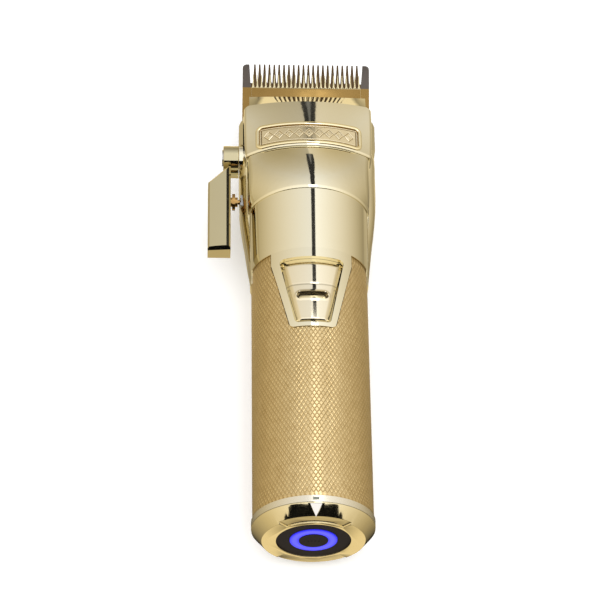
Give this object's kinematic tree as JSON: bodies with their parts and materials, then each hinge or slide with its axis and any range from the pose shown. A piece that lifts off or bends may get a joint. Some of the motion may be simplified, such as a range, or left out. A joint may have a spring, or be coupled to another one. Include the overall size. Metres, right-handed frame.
{
  "type": "hair clipper",
  "caption": "Cordless hair clipper with a knurled metal grip, taper lever, slide switch, steel blade set and a twist-lock battery in its base.",
  "frame": {"origin": "centre of the charging end, on the flat face it stands on", "axes": "+Y along the body from the charging end to the blade tips, +Z to the front (switch side), +X to the right seen from the front with the blades up"},
  "size_m": [0.0596, 0.1893, 0.0426],
  "materials": {
    "knurled_gold": "knurled, satin champagne gold",
    "polished_gold": "polished champagne gold",
    "badge_gold": null,
    "switch_gold": "polished champagne gold",
    "lever_gold": "satin gold",
    "cap_gold": "polished gold",
    "champagne_ring": "brushed pale champagne",
    "blade_gold": "gold-coated steel",
    "steel": "bright",
    "motor_steel": "plated",
    "magnet": "plated",
    "aluminium": "machined",
    "brass": "machined",
    "copper_winding": "enamelled wire",
    "rubber": "matte",
    "black_plastic": "moulded",
    "black_disc": "satin",
    "circuit_green": "solder resist",
    "cell_wrap": "shrink wrap",
    "led_blue": "translucent, lit",
    "white_mark": "enamel",
    "grey_mark": "enamel"
  },
  "bodies": {
    "housing": {"grip_sleeve": "knurled_gold", "core_tube": "aluminium", "index_ring": "champagne_ring", "ring_mark": "grey_mark", "front_shell": "polished_gold", "rear_shell": "polished_gold", "shell_screws": "steel", "face_band": "polished_gold", "badge_plate": "badge_gold", "side_rail_left": "polished_gold", "side_rail_right": "polished_gold", "fixed_blade": "blade_gold", "blade_screws": "steel", "blade_base": "aluminium", "motor_bearing_rear": "steel", "motor_bearing_front": "steel", "motor_can": "motor_steel", "motor_cover": "aluminium", "stator_core": "motor_steel", "stator_coils": "copper_winding", "motor_mount": "aluminium", "motor_screws": "steel", "motor_cradle": "rubber", "control_board": "circuit_green", "board_components": "black_plastic", "slide_contact": "black_plastic", "lever_bush": "polished_gold", "detent_plate": "steel", "contact_carrier": "black_plastic", "contact_pins": "brass"},
    "battery": {"battery_cap": "cap_gold", "cap_marker": "white_mark", "cap_seal": "rubber", "end_disc": "black_disc", "led_ring": "led_blue", "centre_disc": "black_disc", "led_board": "circuit_green", "battery_cell": "cell_wrap", "cell_sleeve": "black_plastic", "battery_can": "aluminium", "contact_rings": "brass"},
    "switch": {"switch_slider": "switch_gold"},
    "lever": {"taper_lever": "lever_gold", "lever_shaft": "steel", "lever_screw": "steel", "plunger_spring": "steel"},
    "plunger": {"detent_plunger": "polished_gold"},
    "carriage": {"taper_carriage": "steel", "guide_rod": "steel", "tension_springs": "steel"},
    "cutter": {"cutter_blade": "blade_gold", "cutter_yoke": "black_plastic"},
    "rotor": {"motor_shaft": "steel", "rotor_magnet": "magnet", "eccentric_cam": "brass", "cam_bearing": "steel"}
  },
  "joints": [
    {"name": "taper_lever_hinge", "type": "hinge", "parent": "housing", "child": "lever", "pos_m": [-0.0273, 0.15, 0], "axis": [1, 0, 0], "range_deg": [0, 26]},
    {"name": "detent_plunger_slide", "type": "slide", "parent": "lever", "child": "plunger", "axis": [-1, 0, 0], "range_m": [0, 0.0005], "stiffness_N_per_m": 800, "springref_m": -0.0012},
    {"name": "taper_carriage_slide", "type": "slide", "parent": "housing", "child": "carriage", "axis": [0, 0.9397, 0.342], "range_m": [0, 0.00198]},
    {"name": "cutter_stroke", "type": "slide", "parent": "carriage", "child": "cutter", "axis": [1, 0, 0], "range_m": [-0.0013, 0.0013]},
    {"name": "motor_rotation", "type": "hinge", "parent": "housing", "child": "rotor", "pos_m": [0, 0.12, 0], "axis": [0, 1, 0], "continuous": true},
    {"name": "power_switch_slide", "type": "slide", "parent": "housing", "child": "switch", "axis": [0, 1, 0], "range_m": [0, 0.0016]},
    {"name": "battery_twist", "type": "hinge", "parent": "housing", "child": "battery", "pos_m": [0, 0.005, 0], "axis": [0, 1, 0], "range_deg": [0, 30]}
  ],
  "couplings": [
    {"joint": "taper_lever_hinge", "follows": "taper_carriage_slide", "rad_per_m": 229.18}
  ]
}
